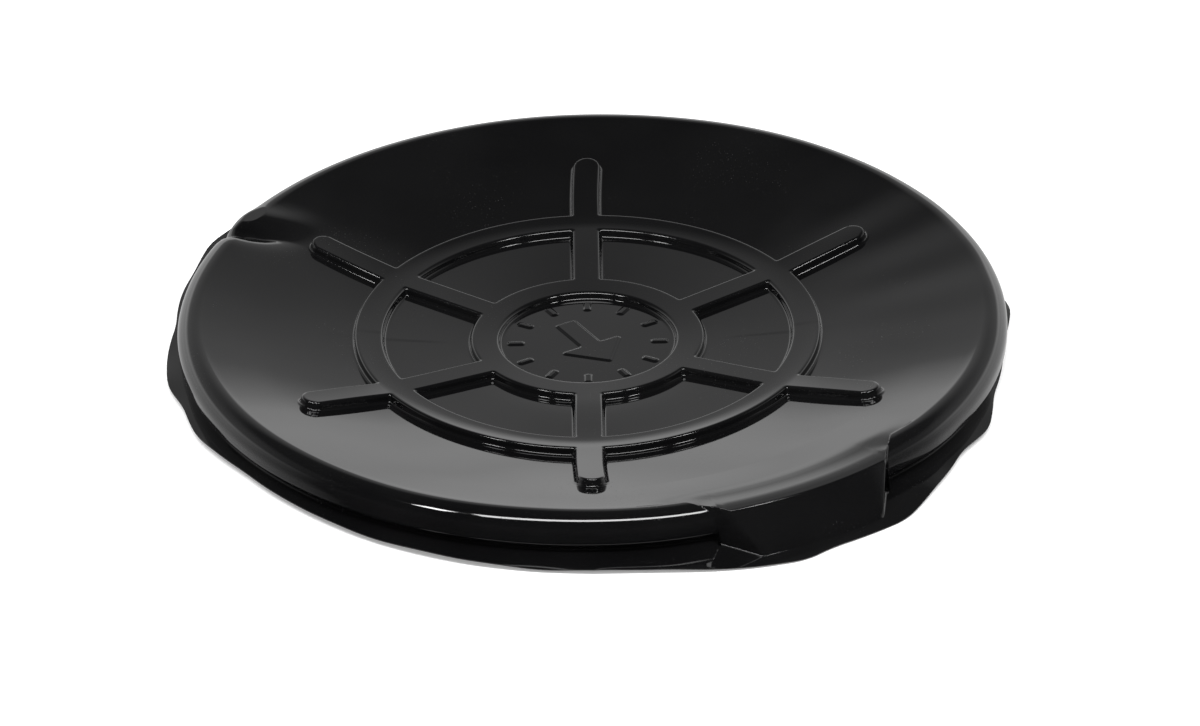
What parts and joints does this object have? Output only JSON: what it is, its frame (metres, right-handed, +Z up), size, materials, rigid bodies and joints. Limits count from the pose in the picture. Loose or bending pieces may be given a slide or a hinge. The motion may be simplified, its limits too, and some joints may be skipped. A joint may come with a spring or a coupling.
{
  "type": "drum lid",
  "caption": "Round press-on drum lid formed from one glossy black sheet: dished, with a wheel of raised ribs, a rolled rim, a trimmed flange and a finger tab.",
  "frame": {"origin": "middle of the hub's underside, the flat face that the lid lies on", "axes": "+Z up along the lid's axis, +Y along one spoke, finger tab 60 degrees clockwise from +X seen from above"},
  "size_m": [0.6184, 0.6321, 0.0343],
  "materials": {
    "formed_sheet": "high-gloss black formed sheet, smooth on both faces"
  },
  "bodies": {
    "root": {"hub_plate": "formed_sheet", "inner_ring_rib": "formed_sheet", "outer_ring_rib": "formed_sheet", "spoke_rib_1": "formed_sheet", "spoke_rib_2": "formed_sheet", "spoke_rib_3": "formed_sheet", "spoke_rib_4": "formed_sheet", "spoke_rib_5": "formed_sheet", "spoke_rib_6": "formed_sheet", "floor_panel_1": "formed_sheet", "floor_panel_2": "formed_sheet", "floor_panel_3": "formed_sheet", "floor_panel_4": "formed_sheet", "floor_panel_5": "formed_sheet", "floor_panel_6": "formed_sheet", "dish_wall": "formed_sheet", "rim_bead": "formed_sheet", "snap_groove": "formed_sheet", "trim_flange": "formed_sheet", "finger_tab": "formed_sheet"}
  },
  "joints": []
}
